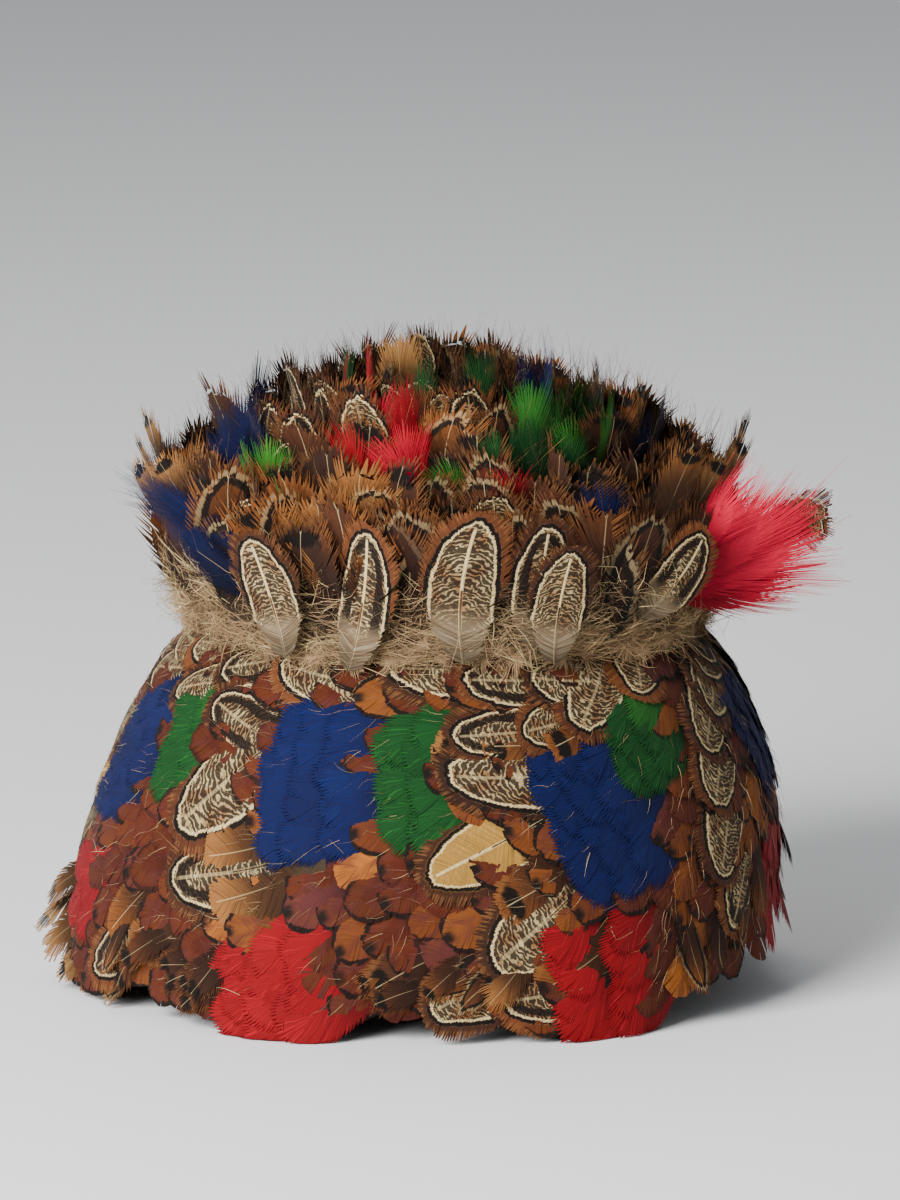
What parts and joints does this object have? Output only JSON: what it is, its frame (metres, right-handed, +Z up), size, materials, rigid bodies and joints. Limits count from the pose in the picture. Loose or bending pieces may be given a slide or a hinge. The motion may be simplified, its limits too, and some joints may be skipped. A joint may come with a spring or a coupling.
{
  "type": "feather hat",
  "caption": "Deep bubble hat of felt covered in flat rust, dyed and barred feathers, its crown set with standing feathers.",
  "frame": {"origin": "on the surface that the hat stands on, in the middle of its box", "axes": "+Z up through the crown, -Y the front of the hat, +X its wearer's left, where the red plume is"},
  "size_m": [0.302, 0.2828, 0.2572],
  "materials": {
    "felt": "matt dark brown felt",
    "rust_feather": "flat rust and copper feathers with dark notches",
    "mottled_feather": "cream feathers with black bars and dark edges",
    "blue_feather": "dyed blue feathers",
    "green_feather": "dyed green feathers",
    "red_feather": "dyed red feathers",
    "tan_feather": "golden tan feathers with black tips",
    "down": "grey-brown down"
  },
  "bodies": {
    "root": {"brim_felt": "felt", "shoulder_felt": "felt", "crown_felt": "felt", "crown_tip_felt": "felt", "rust_coat": "rust_feather", "mottled_collar": "mottled_feather", "blue_patch_1": "blue_feather", "green_patch_1": "green_feather", "red_patch_1": "red_feather", "barred_patch_1": "mottled_feather", "blue_patch_2": "blue_feather", "green_patch_2": "green_feather", "red_patch_2": "red_feather", "barred_patch_2": "mottled_feather", "blue_patch_3": "blue_feather", "green_patch_3": "green_feather", "red_patch_3": "red_feather", "barred_patch_3": "mottled_feather", "blue_patch_4": "blue_feather", "green_patch_4": "green_feather", "red_patch_4": "red_feather", "barred_patch_4": "mottled_feather", "blue_patch_5": "blue_feather", "green_patch_5": "green_feather", "red_patch_5": "red_feather", "barred_patch_5": "mottled_feather", "blue_patch_6": "blue_feather", "green_patch_6": "green_feather", "red_patch_6": "red_feather", "barred_patch_6": "mottled_feather", "blue_patch_7": "blue_feather", "green_patch_7": "green_feather", "red_patch_7": "red_feather", "barred_patch_7": "mottled_feather", "crown_row_1": "tan_feather", "crown_row_2": "tan_feather", "crown_row_3": "tan_feather", "crown_row_4": "tan_feather", "crown_row_5": "tan_feather", "crown_row_6": "tan_feather", "crown_top_tuft": "tan_feather", "neck_down": "down", "red_plume": "red_feather", "blue_plume": "blue_feather"}
  },
  "joints": []
}
